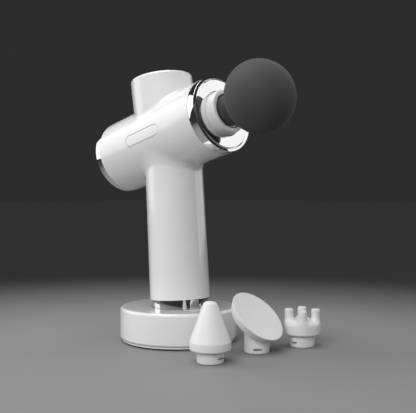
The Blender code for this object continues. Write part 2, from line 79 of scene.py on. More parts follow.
# Along the barrel's axis: the chrome bands, the window, the plate and the collar.
BAND_R = BARREL_R - 0.15
BAND_GAP = 0.12
SPIGOT_R = BARREL_R - WALL - 0.3
SPIGOT_BORE_R = 25.2
REAR_SPIGOT_END = -51.5
FRONT_SPIGOT_END = 44.0
WINDOW_BORE_R = 26.6
WINDOW_SEAT = -57.6
WINDOW_BACK = -57.9
WINDOW_R = 26.35
PLATE_BORE_R = 27.0
PLATE_R = PLATE_BORE_R - 0.2
PLATE_SHOULDER = 54.2
PLATE_BACK = PLATE_SHOULDER + 0.3
PLATE_HOLE_R = 17.65
COLLAR_R = 17.3
COLLAR_TIP_R = 16.6
COLLAR_BORE_R = 13.1
COLLAR_FLANGE_R = 21.0
COLLAR_BACK = 51.5
COLLAR_FRONT = 63.2

# Along the same axis: the plunger, its head socket, the neck and the ball.
PLUNGER_BACK = 22.5
PLUNGER_R = 8.0
SOCKET_OUTER_R = 12.5
SOCKET_R = 9.7
SOCKET_FLOOR = 53.7
SOCKET_MOUTH = 62.4
GROOVE_R = 10.9
GROOVE_BACK = 56.7
GROOVE_FRONT = 58.8
CLEVIS_HALF_GAP = 2.8
WRIST_HOLE_R = 2.3
STEM_R = 9.35
NECK_BACK = 54.1
NECK_STEP = 62.7
NECK_R = 12.0
NECK_FRONT = 83.5
BALL_X = 94.17
BALL_R = 27.0
BALL_HALF_DEPTH = 25.1
BALL_BORE_R = 12.3
BALL_MOUTH = 76.0
BALL_BORE_END = 84.0

# The dock, its well and its inlet.
DOCK_R = 46.0
DOCK_TOP = 27.1
DOCK_WALL = 2.5
DOCK_ROOF = 3.2
LIP_R = 44.35
LIP_INNER_R = 41.4
LIP_LOW = 1.1
FOOT_R = 43.0
FOOT_HEIGHT = 0.8
WELL_DEPTH = 5.6
WELL_R = 23.1
INLET_HEIGHT = 10.5

# The spare heads, which stand on the table.
STEM_EDGE = 1.0
BULLET_AT = (74.0, -40.0, 0.0)
BULLET_SLOT = 8.0
BULLET_R = 14.4
BULLET_LOW = 8.6
BULLET_CONE_FROM = 14.6
BULLET_TIP_R = 4.45
BULLET_TIP_FROM = 41.6
BULLET_TOP = 42.35
DISC_AT = (75.0, 8.0, 0.0)
DISC_SLOT = -46.0
PAD_AT = (76.3, 7.75, 26.7)
PAD_TILT = 44.2
PAD_TURN = 6.2
PAD_R = 22.5
PAD_BACK_R = 19.3
PAD_DEPTH = 6.8
PAD_DISH = 1.3
CLAW_AT = (86.0, 48.0, 0.0)
CLAW_SLOT = -98.0
CLAW_TURN = 38.4
CLAW_R = 13.6
CLAW_LOW = 9.4
CLAW_VALLEY = 20.0
CLAW_TOP = 28.6
PEG_R = 3.4
PEG_FOOT = 12.0
PEG_FILLET = 3.0
PEG_CIRCLE_R = 10.1

# The stage, in metres and linear light.
# The floor's painted pool of light: its centre, where its painted fall-off to black starts and ends, and its pale
# colour.
FLOOR_CENTRE = (0.06, -0.055, 0.0)
FLOOR_PALE_TO = 0.14
FLOOR_DARK_FROM = 0.56
FLOOR_PALE = (0.235, 0.235, 0.235)
BACKDROP = (0.026, 0.026, 0.026)
LIT_POINT = (0.0, 0.0, 0.14)
# Soft boxes show in the chrome: place, size and power.
SOFT_BOXES = {
    "left_soft_box": ((-0.80, -0.45, 0.42), (0.62, 0.72), 1.6),
    "right_soft_box": ((0.36, 0.98, 0.42), (1.1, 0.72), 2.5),
    "top_soft_box": ((-0.1, -0.2, 1.2), (1.0, 1.0), 11.0),
}
# Fills brighten the white without a reflection of their own: place and power.
FILL_SIZE = (0.8, 0.8)
FILLS = {
    "left_fill": ((-0.85, -0.5, 0.5), 2.8),
    "right_fill": ((0.5, 1.0, 0.5), 2.6),
    "front_fill": ((0.55, -1.25, 0.75), 16.0),
}
# The viewpoint, in millimetres and degrees.
CAMERA_AT = (431.27, -408.10, 118.48)
CAMERA_DOWN = 1.263
CAMERA_HEADING = 44.315
CAMERA_LENS = 64.9


# ---------------------------------------------------------------- places


def axes(origin, direction):
    """A frame in millimetres with Z along a direction of the XZ plane and Y as the world's."""
    z = Vector(direction).normalized()
    y = Vector((0.0, 1.0, 0.0))
    x = y.cross(z)
    turned = Matrix((x, y, z)).transposed().to_4x4()
    return Matrix.Translation(Vector(origin)) @ turned


WORLD = Matrix.Identity(4)
BARREL_WAY = Vector(JOINTS["plunger_stroke"]["axis"])
HANDLE_WAY = Vector(JOINTS["gun_lift"]["axis"])
BARREL_CENTRE = Vector(JOINTS["conrod_swing"]["pos_m"]) / MM - WRIST_X * BARREL_WAY
HANDLE_FOOT = BARREL_CENTRE - HANDLE_LENGTH * HANDLE_WAY
STUB_WAY = Vector((-math.sin(math.radians(STUB_LEAN)), 0.0, math.cos(math.radians(STUB_LEAN))))
STUB_FOOT = BARREL_CENTRE + STUB_X * BARREL_WAY

# Turned about Z: the barrel forwards, the handle and the stub upwards.
BARREL = axes(BARREL_CENTRE, BARREL_WAY)
HANDLE = axes(HANDLE_FOOT, HANDLE_WAY)
STUB = axes(STUB_FOOT, STUB_WAY)
# The barrel's own axes: X forwards, Y left, Z up square to the barrel.
ALONG = axes(BARREL_CENTRE, Vector(JOINTS["motor_spin"]["axis"]))


# ---------------------------------------------------------------- materials


def nodes_of(material):
    tree = material.node_tree
    return tree.nodes, tree.links


def link_noise(material, scale, detail=4.0, roughness=0.55):
    """A noise texture in object space, with its scale in features per metre."""
    nodes, links = nodes_of(material)
    place = nodes.get("place") or nodes.new("ShaderNodeTexCoord")
    place.name = "place"
    noise = nodes.new("ShaderNodeTexNoise")
    noise.inputs["Scale"].default_value = scale
    noise.inputs["Detail"].default_value = detail
    noise.inputs["Roughness"].default_value = roughness
    links.new(place.outputs["Object"], noise.inputs["Vector"])
    return noise.outputs["Fac"]


def ranged(material, value, low, high):
    """A 0 to 1 texture value stretched to a range."""
    nodes, links = nodes_of(material)
    spread = nodes.new("ShaderNodeMapRange")
    spread.inputs["From Min"].default_value = 0.3
    spread.inputs["From Max"].default_value = 0.7
    spread.inputs["To Min"].default_value = low
    spread.inputs["To Max"].default_value = high
    links.new(value, spread.inputs["Value"])
    return spread.outputs["Result"]


def link_colour(material, value, dark, light):
    """Base colour running between two colours with a texture value."""
    nodes, links = nodes_of(material)
    mix = nodes.new("ShaderNodeMix")
    mix.data_type = "RGBA"
    mix.inputs["A"].default_value = (*dark, 1.0)
    mix.inputs["B"].default_value = (*light, 1.0)
    links.new(value, mix.inputs["Factor"])
    links.new(mix.outputs["Result"], nodes["Principled BSDF"].inputs["Base Color"])


def link_bump(material, value, distance, strength=1.0):
    """Surface relief from a texture value, its height in metres."""
    nodes, links = nodes_of(material)
    bump = nodes.new("ShaderNodeBump")
    bump.inputs["Distance"].default_value = distance
    bump.inputs["Strength"].default_value = strength
    links.new(value, bump.inputs["Height"])
    links.new(bump.outputs["Normal"], nodes["Principled BSDF"].inputs["Normal"])


def base(name, roughness, **sockets):
    """A material whose constant values sit on the shader's own sockets."""
    material = bpy.data.materials.new(name)
    material.use_nodes = True
    shader = material.node_tree.nodes["Principled BSDF"]
    shader.inputs["Roughness"].default_value = roughness
    for socket, value in sockets.items():
        shader.inputs[socket.replace("_", " ")].default_value = value
    return material


def tint(colour, factor):
    return tuple(min(1.0, channel * factor) for channel in colour)


def surface(name, colour, rough, grain, relief, shade, **sockets):
    """Base colour, roughness and relief each varied by their own procedural texture."""
    material = base(name, sum(rough) / 2, **sockets)
    clouds = link_noise(material, 45.0, 3.0)
    mottled = ranged(material, clouds, 0.0, 1.0)
    link_colour(material, mottled, tint(colour, 1 - shade), tint(colour, 1 + shade))
    wiped = link_noise(material, 160.0, 5.0)
    shader = material.node_tree.nodes["Principled BSDF"]
    material.node_tree.links.new(ranged(material, wiped, *rough), shader.inputs["Roughness"])
    link_bump(material, link_noise(material, grain, 2.0), relief)
    return material


# Colour, roughness range, grain per metre, relief in metres and shade of each plain material.
SURFACES = {
    "gloss_white": ((0.76, 0.76, 0.765), (0.13, 0.19), 900.0, 0.000004, 0.01),
    "satin_white": ((0.74, 0.74, 0.745), (0.34, 0.44), 2600.0, 0.00001, 0.012),
    "collar_white": ((0.7, 0.7, 0.7), (0.26, 0.34), 2000.0, 0.000006, 0.012),
    "chrome": ((0.88, 0.885, 0.89), (0.03, 0.06), 400.0, 0.0000002, 0.01),
    "dark_plastic": ((0.05, 0.05, 0.052), (0.45, 0.6), 3000.0, 0.00002, 0.08),
    "black_rubber": ((0.022, 0.022, 0.023), (0.65, 0.8), 2600.0, 0.00003, 0.1),
    "dark_glass": ((0.008, 0.008, 0.01), (0.03, 0.06), 300.0, 0.000001, 0.05),
    "steel": ((0.56, 0.56, 0.57), (0.22, 0.34), 1800.0, 0.000006, 0.05),
    "aluminium": ((0.72, 0.72, 0.73), (0.26, 0.38), 2200.0, 0.000008, 0.05),
    "bronze": ((0.55, 0.37, 0.16), (0.35, 0.5), 3000.0, 0.00002, 0.12),
    "winding": ((0.62, 0.27, 0.12), (0.25, 0.4), 1400.0, 0.00008, 0.2),
    "circuit_board": ((0.012, 0.12, 0.05), (0.3, 0.5), 900.0, 0.00005, 0.25),
    "battery_cell": ((0.06, 0.2, 0.42), (0.3, 0.42), 700.0, 0.00001, 0.06),
}
METALS = ("chrome", "steel", "aluminium", "bronze", "winding")
COATS = {
    "gloss_white": {"Coat_Weight": 0.8, "Coat_Roughness": 0.04},
    "dark_glass": {"Coat_Weight": 0.6},
}


def make_materials():
    made = {}
    for name, values in SURFACES.items():
        sockets = {"Metallic": 1.0} if name in METALS else COATS.get(name, {})
        made[name] = surface(name, *values, **sockets)
    made["grey_foam"] = foam()
    return made


def foam():
    """Moulded foam: a matte skin with fine open pores and a soft sheen at its rim."""
    material = base("grey_foam", 0.8, Sheen_Weight=0.06, Sheen_Roughness=0.5, Specular_IOR_Level=0.2)
    nodes, links = nodes_of(material)
    clouds = link_noise(material, 70.0, 5.0, 0.6)
    link_colour(material, ranged(material, clouds, 0.0, 1.0), (0.058, 0.058, 0.059), (0.07, 0.07, 0.071))
    worn = ranged(material, link_noise(material, 900.0), 0.72, 0.9)
    links.new(worn, nodes["Principled BSDF"].inputs["Roughness"])
    pores = nodes.new("ShaderNodeTexVoronoi")
    pores.inputs["Scale"].default_value = 1500.0
    links.new(nodes["place"].outputs["Object"], pores.inputs["Vector"])
    link_bump(material, pores.outputs["Distance"], 0.00005, 0.6)
    return material


# ---------------------------------------------------------------- meshes


def piece(name, bm, material, body, replaced=(), angle=32.0):
    """A finished mesh as a piece that rides on a body and stands for its CAD nodes."""
    mesh = bpy.data.meshes.new(name)
    bm.to_mesh(mesh)
    bm.free()
    return piece_of(name, mesh, material, body, replaced, angle)


def piece_of(name, mesh, material, body, replaced=(), angle=32.0):
    mesh.materials.clear()
    mesh.materials.append(material)
    mesh.shade_smooth()
    mesh.set_sharp_from_angle(angle=math.radians(angle))
    obj = bpy.data.objects.new(name, mesh)
    bpy.context.scene.collection.objects.link(obj)
    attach(obj, body)
    if replaced:
        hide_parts(*replaced)
    return obj


def closed(bm):
    bmesh.ops.recalc_face_normals(bm, faces=bm.faces)
    return bm


def turned(profile, matrix, steps=144):
    """A profile of (radius, height) points spun about the matrix's Z axis."""
    bm = bmesh.new()
    rings = []
    for radius, height in profile:
        if radius < 1e-6:
            rings.append([bm.verts.new((0.0, 0.0, height))])
            continue
        angles = [math.tau * i / steps for i in range(steps)]
        rings.append([bm.verts.new((radius * math.cos(a), radius * math.sin(a), height)) for a in angles])
    pairs = list(zip(rings, rings[1:]))
    if profile[0][0] > 1e-6:
        pairs.append((rings[-1], rings[0]))
    for lower, upper in pairs:
        for i in range(steps):
            j = (i + 1) % steps
            corners = [lower[i % len(lower)], lower[j % len(lower)]]
            corners += [upper[j % len(upper)], upper[i % len(upper)]]
            bm.faces.new(list(dict.fromkeys(corners)))
    bmesh.ops.transform(bm, matrix=Matrix.Scale(MM, 4) @ matrix, verts=bm.verts)
    return closed(bm)


def rounded(points, radius, steps=4):
    """A profile with its inner corners rounded: each (x, y) or (x, y, own radius) point."""
    out = []
    last = len(points) - 1
    for i, point in enumerate(points):
        here = Vector(point[:2])
        reach = point[2] if len(point) > 2 else radius
        if i in (0, last) or reach <= 0.0:
            out.append(tuple(here))
            continue
        before = (Vector(points[i - 1][:2]) - here).normalized()
        after = (Vector(points[i + 1][:2]) - here).normalized()
        for k in range(steps + 1):
            t = k / steps
            near = here + before * reach * (1 - t) ** 2 + after * reach * t ** 2
            out.append(tuple(near))
    return out


def prism(outline, low, high, matrix):
    """A flat outline of (x, y) points extruded along the matrix's Z axis."""
    bm = bmesh.new()
    face = bm.faces.new([bm.verts.new((x, y, low)) for x, y in outline])
    raised = bmesh.ops.extrude_face_region(bm, geom=[face])["geom"]
    top = [vert for vert in raised if isinstance(vert, bmesh.types.BMVert)]
    bmesh.ops.translate(bm, verts=top, vec=(0, 0, high - low))
    bmesh.ops.transform(bm, matrix=Matrix.Scale(MM, 4) @ matrix, verts=bm.verts)
    return closed(bm)


def box(low, high, matrix):
    outline = [(low[0], low[1]), (high[0], low[1]), (high[0], high[1]), (low[0], high[1])]
    return prism(outline, low[2], high[2], matrix)


def arc(centre, radius, start, end, steps):
    angles = [math.radians(start + (end - start) * i / steps) for i in range(steps + 1)]
    return [(centre[0] + radius * math.cos(a), centre[1] + radius * math.sin(a)) for a in angles]


def pill(length, height, steps=16):
    reach = (length - height) / 2
    return arc((reach, 0), height / 2, -90, 90, steps) + arc((-reach, 0), height / 2, 90, 270, steps)


def guide(bm):
    """A bmesh as a temporary object, for a Boolean."""
    mesh = bpy.data.meshes.new("guide")
    bm.to_mesh(mesh)
    bm.free()
    obj = bpy.data.objects.new("guide", mesh)
    bpy.context.scene.collection.objects.link(obj)
    return obj


def carved(bm, steps):
    """The mesh of a bmesh after a list of (operation, bmesh) Booleans."""
    body = guide(bm)
    tools = []
    for operation, tool in steps:
        tools.append(guide(tool))
        boolean = body.modifiers.new("carve", "BOOLEAN")
        boolean.operation = operation
        boolean.object = tools[-1]
        boolean.solver = "MANIFOLD"
    bpy.context.view_layer.update()
    graph = bpy.context.evaluated_depsgraph_get()
    mesh = bpy.data.meshes.new_from_object(body.evaluated_get(graph))
    for obj in [body, *tools]:
        bpy.data.objects.remove(obj, do_unlink=True)
    return mesh


# ---------------------------------------------------------------- housing surface


def local(points, matrix):
    """World points, in millimetres, in a frame's own axes."""
    back = np.array(matrix.inverted())
    return points @ back[:3, :3].T + back[:3, 3]


def round_union(a, b, radius):
    """Joins two distances with a fillet of that radius."""
    near = np.maximum(np.stack([radius - a, radius - b]), 0.0)
    return np.maximum(radius, np.minimum(a, b)) - np.sqrt((near ** 2).sum(axis=0))


def housing_distance(points):
    """Distance to the housing's outer surface, with its ends left to run on."""
    p = local(points, BARREL)
    barrel = np.hypot(p[:, 0], p[:, 1]) - BARREL_R
    p = local(points, HANDLE)
    share = np.clip((p[:, 2] - HANDLE_RIM) / (HANDLE_LENGTH - HANDLE_RIM), -0.2, 1.0)
    handle = np.hypot(p[:, 0], p[:, 1]) - (HANDLE_LOW_R + (HANDLE_HIGH_R - HANDLE_LOW_R) * share)
    handle = np.maximum(handle, p[:, 2] - HANDLE_LENGTH)
    p = local(points, STUB)
    share = np.clip(p[:, 2] / STUB_TOP, 0.0, 1.0)
    side = np.hypot(p[:, 0], p[:, 1]) - (STUB_LOW_R + (STUB_HIGH_R - STUB_LOW_R) * share)
    top = p[:, 2] - STUB_TOP
    corner = np.maximum(np.stack([side + STUB_EDGE, top + STUB_EDGE]), 0.0)
    inside = np.minimum(np.maximum(side, top) + STUB_EDGE, 0.0)
    stub = np.sqrt((corner ** 2).sum(axis=0)) + inside - STUB_EDGE
    stub = np.maximum(stub, -p[:, 2])
    return round_union(round_union(barrel, handle, HANDLE_FILLET), stub, STUB_FILLET)


def slope(distance, points, step=0.02):
    """Gradient of a distance function by central differences."""
    parts = []
    for axis in range(3):
        shift = np.zeros(3)
        shift[axis] = step
        parts.append((distance(points + shift) - distance(points - shift)) / (2 * step))
    return np.stack(parts, axis=1)


def settle(distance, points, rounds):
    """Moves points onto the surface where the distance is zero."""
    for _ in range(rounds):
        way = slope(distance, points)
        size = np.maximum((way ** 2).sum(axis=1), 0.05)
        points = points - way * (distance(points) / size)[:, None]
    return points


def remeshed(bm, voxel):
    body = guide(bm)
    remesh = body.modifiers.new("remesh", "REMESH")
    remesh.mode = "VOXEL"
    remesh.voxel_size = voxel * MM
    bpy.context.view_layer.update()
    graph = bpy.context.evaluated_depsgraph_get()
    mesh = bpy.data.meshes.new_from_object(body.evaluated_get(graph))
    bpy.data.objects.remove(body, do_unlink=True)
    return mesh


def relaxed(mesh, distance, rounds=6):
    """Evens out a mesh's points over the surface where the distance is zero."""
    count = len(mesh.vertices)
    points = np.empty(count * 3)
    mesh.vertices.foreach_get("co", points)
    points = points.reshape(-1, 3) / MM
    edges = np.empty(len(mesh.edges) * 2, int)
    mesh.edges.foreach_get("vertices", edges)
    a, b = edges.reshape(-1, 2).T
    degree = np.bincount(np.concatenate([a, b]), minlength=count)[:, None]
    for _ in range(rounds):
        total = np.zeros_like(points)
        np.add.at(total, a, points[b])
        np.add.at(total, b, points[a])
        points = settle(distance, 0.4 * points + 0.6 * total / degree, 1)
    points = settle(distance, points, 3)
    mesh.vertices.foreach_set("co", (points * MM).ravel())
    mesh.update()
    return mesh


def smooth_normals(mesh, distance, near=0.02, most=0.75):
    """Takes the shading normals of faces on the exact surface from the distance's gradient."""
    points = np.empty(len(mesh.vertices) * 3)
    mesh.vertices.foreach_get("co", points)
    points = points.reshape(-1, 3) / MM
    way = slope(distance, points)
    way /= np.linalg.norm(way, axis=1)[:, None]
    on = np.abs(distance(points)) < near
    loops = np.empty(len(mesh.loops), int)
    mesh.loops.foreach_get("vertex_index", loops)
    normals = np.empty(len(mesh.polygons) * 3)
    mesh.polygons.foreach_get("normal", normals)
    totals = np.empty(len(mesh.polygons), int)
    mesh.polygons.foreach_get("loop_total", totals)
    flat = np.repeat(normals.reshape(-1, 3), totals, axis=0)
    smooth = way[loops]
    use = on[loops] & ((smooth * flat).sum(axis=1) > most)
    mesh.normals_split_custom_set(np.where(use[:, None], smooth, flat).tolist())


def bm_of(mesh):
    bm = bmesh.new()
    bm.from_mesh(mesh)
    bpy.data.meshes.remove(mesh)
    return bm


def joined(*parts):
    """Several bmeshes as one."""
    whole = bmesh.new()
    for part in parts:
        mesh = bpy.data.meshes.new("part")
        part.to_mesh(mesh)
        part.free()
        whole.from_mesh(mesh)
        bpy.data.meshes.remove(mesh)
    return whole


def housing_skin():
    """The whole housing's outer shape as one even mesh, running on past its open ends."""
    spare = 4.0
    barrel = turned([(0, BARREL_REAR - spare), (BARREL_R, BARREL_REAR - spare),
                     (BARREL_R, BARREL_FRONT + spare), (0, BARREL_FRONT + spare)], BARREL)
    handle = turned([(0, HANDLE_RIM - spare), (HANDLE_LOW_R, HANDLE_RIM - spare),
                     (HANDLE_HIGH_R, HANDLE_LENGTH), (0, HANDLE_LENGTH)], HANDLE)
    stub = turned([(0, 0), (STUB_LOW_R, 0), (STUB_HIGH_R, STUB_TOP), (0, STUB_TOP)], STUB)
    return joined(barrel, handle, stub)


def housing(looks):
    """The two housing halves, blended at the junctions, with a hairline seam between them."""
    voxel = 0.9
    skin = bm_of(relaxed(remeshed(housing_skin(), voxel), housing_distance))
    long = 200.0
    cuts = [
        ("INTERSECT", turned([(0, BARREL_REAR), (long, BARREL_REAR), (long, BARREL_FRONT), (0, BARREL_FRONT)],
                             BARREL, 8)),
        ("DIFFERENCE", turned([(0, -80), (60, -80), (60, HANDLE_RIM), (0, HANDLE_RIM)], HANDLE, 8)),
        ("DIFFERENCE", turned([(0, -90), (BARREL_R - WALL, -90), (BARREL_R - WALL, 90), (0, 90)],
                              BARREL, 96)),
        ("DIFFERENCE", turned([(0, -9), (HANDLE_LOW_R - WALL, -9), (HANDLE_HIGH_R - WALL, HANDLE_LENGTH),
                               (0, HANDLE_LENGTH)], HANDLE, 90)),
        ("DIFFERENCE", turned([(0, 0), (STUB_HIGH_R - WALL, 0), (STUB_HIGH_R - WALL, STUB_TOP - WALL),
                               (0, STUB_TOP - WALL)], STUB, 84)),
        ("DIFFERENCE", prism(pill(BUTTON_LENGTH + 0.6, BUTTON_HEIGHT + 0.6), 20.0, 40.0, BUTTON)),
    ]
    shell = carved(skin, cuts)
    for name, side in (("left", 1), ("right", -1)):
        kept, gone = sorted((side * SEAM / 2, -side * 80.0))
        other = box((-200, kept, -50), (200, gone, 300), WORLD)
        half = carved(bm_of(shell.copy()), [("DIFFERENCE", other)])
        obj = piece_of(f"{name}_shell", half, looks["gloss_white"], "gun", [f"{name}_housing"])
        smooth_normals(obj.data, housing_distance)
    bpy.data.meshes.remove(shell)


# The button's frame: X forwards along the barrel, Y up, Z out to the right.
BUTTON = ALONG @ Matrix.Translation((BUTTON_X, 0, 0)) @ Matrix.Rotation(math.radians(90), 4, "X")


def power_key(looks):
    """Pill-shaped key whose face follows the barrel, with a rounded edge."""
    levels = [(0.0, -3.2), (0.0, -0.45), (0.06, -0.2), (0.2, -0.06), (0.45, 0.0)]
    levels += [(inset, 0.0) for inset in (1.0, 1.8, 2.8, 3.7, BUTTON_HEIGHT / 2 - 0.001)]
    reach = (BUTTON_LENGTH - BUTTON_HEIGHT) / 2
    around = 20
    along = 24
    bm = bmesh.new()
    rings = []
    for inset, rise in levels:
        radius = BUTTON_HEIGHT / 2 - inset
        outline = arc((reach, 0), radius, -90, 90, around)
        outline += [(reach - 2 * reach * i / along, radius) for i in range(1, along)]
        outline += arc((-reach, 0), radius, 90, 270, around)
        outline += [(-reach + 2 * reach * i / along, -radius) for i in range(1, along)]
        skin = BARREL_R - 0.05 + rise
        rings.append([bm.verts.new((x, y, math.sqrt(skin ** 2 - y ** 2))) for x, y in outline])
    for lower, upper in zip(rings, rings[1:]):
        for i in range(len(lower)):
            j = (i + 1) % len(lower)
            bm.faces.new((lower[i], lower[j], upper[j], upper[i]))
    bm.faces.new(rings[0][::-1])
    bmesh.ops.remove_doubles(bm, verts=bm.verts, dist=0.01)
    bmesh.ops.transform(bm, matrix=Matrix.Scale(MM, 4) @ BUTTON, verts=bm.verts)
    piece("power_key", closed(bm), looks["gloss_white"], "power_key", ["side_button"])


# ---------------------------------------------------------------- barrel ends


def barrel_ends(looks):
    """Chrome bands at both ends, the rear window, the mirror plate and the white collar."""
    seat = BARREL_REAR - BAND_GAP
    profile = [(WINDOW_BORE_R, WINDOW_SEAT), (WINDOW_BORE_R, REAR_FACE + 0.2, 0.3), (27.0, REAR_FACE, 0.2)]
    profile += [(BAND_R, REAR_FACE, 0.9), (BAND_R, seat, 0.15), (SPIGOT_R, seat, 0)]
    profile += [(SPIGOT_R, REAR_SPIGOT_END, 0), (SPIGOT_BORE_R, REAR_SPIGOT_END, 0)]
    profile += [(SPIGOT_BORE_R, WINDOW_SEAT)]
    band = turned(rounded(profile, 0.3, 6), BARREL)
    piece("rear_band", band, looks["chrome"], "gun", ["rear_ring"])
    profile = [(0, REAR_FACE + 0.4), (24.0, REAR_FACE + 0.7, 2.0), (WINDOW_R, REAR_FACE + 1.0, 0.3)]
    profile += [(WINDOW_R, WINDOW_BACK, 0.2), (0, WINDOW_BACK)]
    window = turned(rounded(profile, 0.3, 6), BARREL)
    piece("rear_window", window, looks["dark_glass"], "gun", ["display_window"])
    seat = BARREL_FRONT + BAND_GAP
    profile = [(SPIGOT_BORE_R, FRONT_SPIGOT_END), (SPIGOT_R, FRONT_SPIGOT_END, 0), (SPIGOT_R, seat, 0)]
    profile += [(BAND_R, seat, 0.15), (BAND_R, FRONT_FACE - 0.7, 0.25)]
    profile += [(PLATE_BORE_R + 0.3, FRONT_FACE - 0.1, 0.12), (PLATE_BORE_R, FRONT_FACE - 0.4, 0.1)]
    profile += [(PLATE_BORE_R, PLATE_SHOULDER, 0), (SPIGOT_BORE_R, PLATE_SHOULDER)]
    band = turned(rounded(profile, 0.3, 5), BARREL)
    piece("front_band", band, looks["chrome"], "gun", ["front_ring"])
    profile = [(PLATE_HOLE_R, 55.0), (PLATE_HOLE_R, PLATE_BACK, 0), (PLATE_R, PLATE_BACK, 0.1)]
    profile += [(PLATE_R, FRONT_FACE - 0.45, 0.15), (PLATE_R - 0.45, FRONT_FACE, 0.12)]
    profile += [(PLATE_HOLE_R + 0.1, FRONT_FACE, 0.3), (PLATE_HOLE_R, 55.6)]
    plate = turned(rounded(profile, 0.3, 5), BARREL)
    piece("mirror_plate", plate, looks["chrome"], "gun", ["front_plate"])
    profile = [(COLLAR_BORE_R, 55.0), (COLLAR_BORE_R, COLLAR_BACK, 0), (COLLAR_FLANGE_R, COLLAR_BACK, 0)]
    profile += [(COLLAR_FLANGE_R, PLATE_SHOULDER, 0), (COLLAR_R, PLATE_SHOULDER, 0)]
    profile += [(COLLAR_R, FRONT_FACE, 0.1)]
    profile += [(COLLAR_TIP_R, COLLAR_FRONT, 1.2), (COLLAR_BORE_R, COLLAR_FRONT, 0.6), (COLLAR_BORE_R, 58.0)]
    collar = turned(rounded(profile, 0.3, 6), BARREL)
    piece("white_collar", collar, looks["collar_white"], "gun", ["dust_seal"])


def plunger(looks):
    """Plunger with its clevis behind and the head socket, with its groove, in front."""
    profile = [(0, PLUNGER_BACK), (PLUNGER_R, PLUNGER_BACK, 0.5), (PLUNGER_R, 51.6, 0.3)]
    profile += [(SOCKET_OUTER_R, 52.6, 0.3), (SOCKET_OUTER_R, SOCKET_MOUTH, 0.5)]
    profile += [(SOCKET_R, SOCKET_MOUTH, 0.4)]
    profile += [(SOCKET_R, GROOVE_FRONT, 0), (GROOVE_R, GROOVE_FRONT, 0), (GROOVE_R, GROOVE_BACK, 0)]
    profile += [(SOCKET_R, GROOVE_BACK, 0), (SOCKET_R, SOCKET_FLOOR, 0), (0, SOCKET_FLOOR)]
    slot = box((20.0, -12.0, -CLEVIS_HALF_GAP), (34.5, 12.0, CLEVIS_HALF_GAP), ALONG)
    wrist = ALONG @ Matrix.Translation((WRIST_X, 0, 0))
    hole = turned([(0, -12.0), (WRIST_HOLE_R, -12.0), (WRIST_HOLE_R, 12.0), (0, 12.0)], wrist, 48)
    shaft = turned(rounded(profile, 0.3, 4), BARREL, 96)
    shaft = carved(shaft, [("DIFFERENCE", slot), ("DIFFERENCE", hole)])
    piece_of("socket_plunger", shaft, looks["aluminium"], "plunger", ["plunger"])


def handle_end(looks):
    """Chrome ring at the handle's lower end, with a spigot up into the handle."""
    bore = 19.7
    ring_r = 22.5
    low = -5.3
    spigot = HANDLE_LOW_R - WALL - 0.45
    seat = HANDLE_RIM - BAND_GAP
    profile = rounded([(bore, 0.0), (bore, low, 0.2), (ring_r, low, 0.7), (ring_r, seat, 0.3),
                       (spigot, seat, 0), (spigot, 11.0, 0), (bore, 11.0, 0), (bore, 5.0)], 0.3, 5)
    piece("handle_foot_ring", turned(profile, HANDLE), looks["chrome"], "gun", ["handle_end_ring"])


# ---------------------------------------------------------------- dock


def dock(looks):
    """Round dock with a soft top edge, a shadow groove above its lip and the handle's well."""
    inner = DOCK_R - DOCK_WALL
    roof = DOCK_TOP - DOCK_ROOF
    profile = [(0, DOCK_TOP), (DOCK_R, DOCK_TOP, 2.6), (DOCK_R, 3.9, 0.8), (45.2, 2.9, 0.3)]
    profile += [(43.7, 2.75, 0.1), (43.7, 2.3, 0.1), (LIP_R, 2.1, 0.1), (LIP_R, LIP_LOW, 0.3)]
    profile += [(LIP_INNER_R, LIP_LOW, 0), (LIP_INNER_R, 5.2, 0), (inner, 7.2, 0), (inner, roof, 0)]
    profile += [(0, roof)]
    body = turned(rounded(profile, 0.3, 8), WORLD, 192)
    cup_r = WELL_R + 2.4
    cup_low = -WELL_DEPTH - 2.6
    cup = turned([(0, cup_low), (cup_r, cup_low), (cup_r, -1.3), (0, -1.3)], HANDLE)
    well = rounded([(0, -WELL_DEPTH), (WELL_R, -WELL_DEPTH, 0.3), (WELL_R, 12.0), (0, 12.0)], 0, 4)
    well = turned(well, HANDLE)
    side = Matrix.Translation((0, 0, INLET_HEIGHT)) @ Matrix.Rotation(math.radians(90), 4, "Z")
    side = side @ Matrix.Rotation(math.radians(90), 4, "X")
    mouth = prism(pill(10.2, 4.6), -50.0, -40.0, side)
    shell = carved(body, [("UNION", cup), ("DIFFERENCE", well), ("DIFFERENCE", mouth)])
    piece_of("dock_body", shell, looks["gloss_white"], "dock", ["dock_shell"])
    foot = rounded([(0, 0), (FOOT_R, 0, 0.4), (FOOT_R, FOOT_HEIGHT, 0.1), (0, FOOT_HEIGHT)], 0.3, 4)
    piece("dock_foot", turned(foot, WORLD), looks["black_rubber"], "dock", ["dock_foot_pad"])
    cavity = prism(pill(8.4, 2.8), -46.5, -38.5, side)
    tongue = box((-44.8, -3.0, 10.15), (-38.0, 3.0, 10.85), WORLD)
    inlet = carved(prism(pill(9.4, 3.8), -45.5, -37.5, side), [("DIFFERENCE", cavity), ("UNION", tongue)])
    piece_of("charge_inlet", inlet, looks["steel"], "dock", ["dock_charge_inlet"])


# ---------------------------------------------------------------- massage heads


